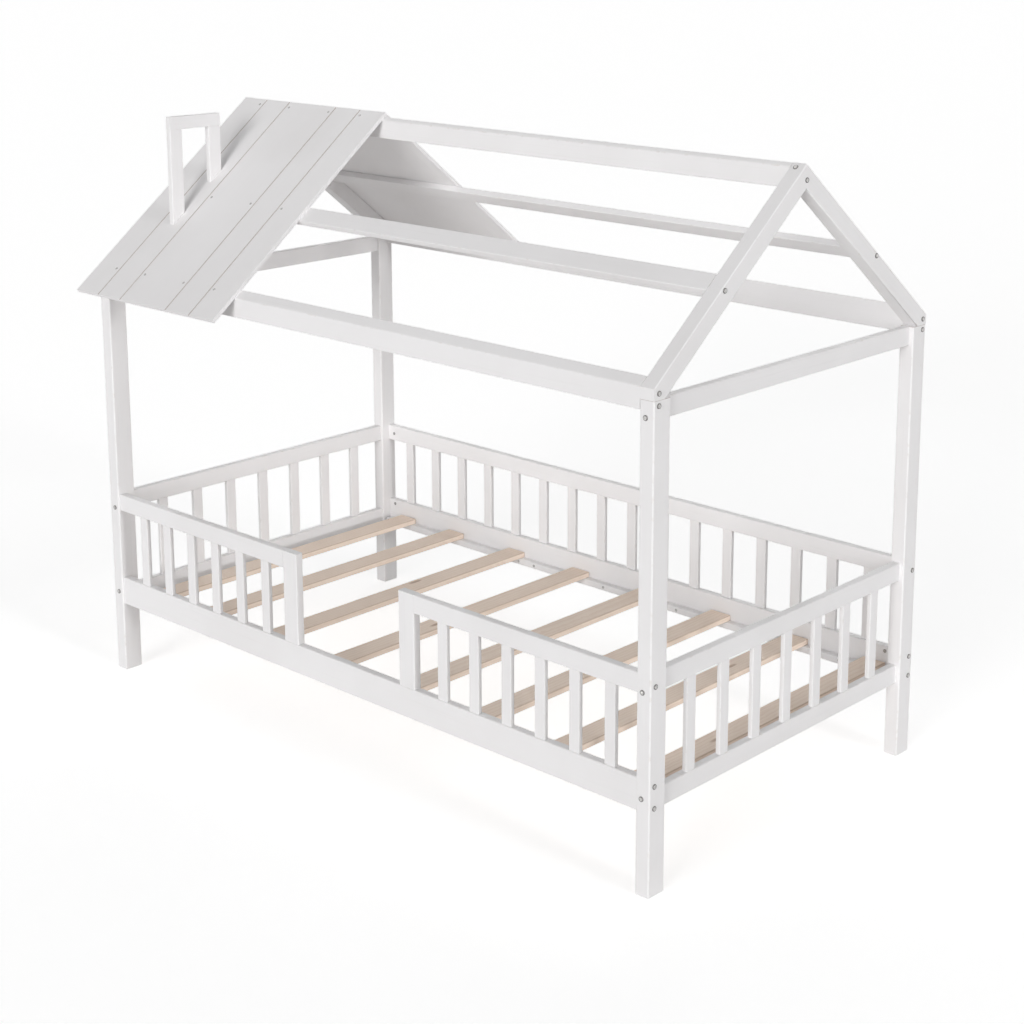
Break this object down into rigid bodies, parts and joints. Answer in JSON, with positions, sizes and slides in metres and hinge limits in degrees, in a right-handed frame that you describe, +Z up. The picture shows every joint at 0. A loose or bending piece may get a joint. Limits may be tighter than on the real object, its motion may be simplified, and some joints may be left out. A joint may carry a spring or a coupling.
{
  "type": "house frame bed",
  "caption": "Low slatted child's bed in an open house-shaped timber frame, with baluster fences, a front entrance, a grooved part roof at the head end and a square chimney frame.",
  "frame": {"origin": "centre of the footprint on the floor", "axes": "+X towards the foot end, +Y towards the back, +Z up; the entrance faces -Y"},
  "size_m": [2.005, 1.2056, 1.6068],
  "materials": {
    "white_paint": "satin white paint on solid wood",
    "slat_pine": "planed bare pine",
    "bolt_steel": "dark zinc-plated steel"
  },
  "bodies": {
    "root": {"balusters_back": "white_paint", "balusters_front_left": "white_paint", "balusters_front_right": "white_paint", "balusters_left": "white_paint", "balusters_right": "white_paint", "barrel_nuts": "bolt_steel", "bolts_end": "bolt_steel", "bolts_side": "bolt_steel", "chimney_leg_back": "white_paint", "chimney_leg_front": "white_paint", "chimney_top_bar": "white_paint", "eave_beam_back": "white_paint", "eave_beam_front": "white_paint", "end_rail_left": "white_paint", "end_rail_right": "white_paint", "guard_rail_back": "white_paint", "guard_rail_front_left": "white_paint", "guard_rail_front_right": "white_paint", "guard_rail_left": "white_paint", "guard_rail_right": "white_paint", "ledger_back": "white_paint", "ledger_front": "white_paint", "mitre_bolt": "bolt_steel", "post_back_left": "white_paint", "post_back_right": "white_paint", "post_front_left": "white_paint", "post_front_right": "white_paint", "purlin_back": "white_paint", "purlin_front": "white_paint", "rafter_back_left": "white_paint", "rafter_back_right": "white_paint", "rafter_front_left": "white_paint", "rafter_front_right": "white_paint", "ridge_beam": "white_paint", "roof_panel_back": "white_paint", "roof_panel_front": "white_paint", "side_rail_back": "white_paint", "side_rail_front": "white_paint", "slat_1": "slat_pine", "slat_2": "slat_pine", "slat_3": "slat_pine", "slat_4": "slat_pine", "slat_5": "slat_pine", "slat_6": "slat_pine", "slat_7": "slat_pine", "slat_8": "slat_pine", "stile_left": "white_paint", "stile_right": "white_paint", "tie_beam_left": "white_paint", "tie_beam_right": "white_paint"}
  },
  "joints": []
}
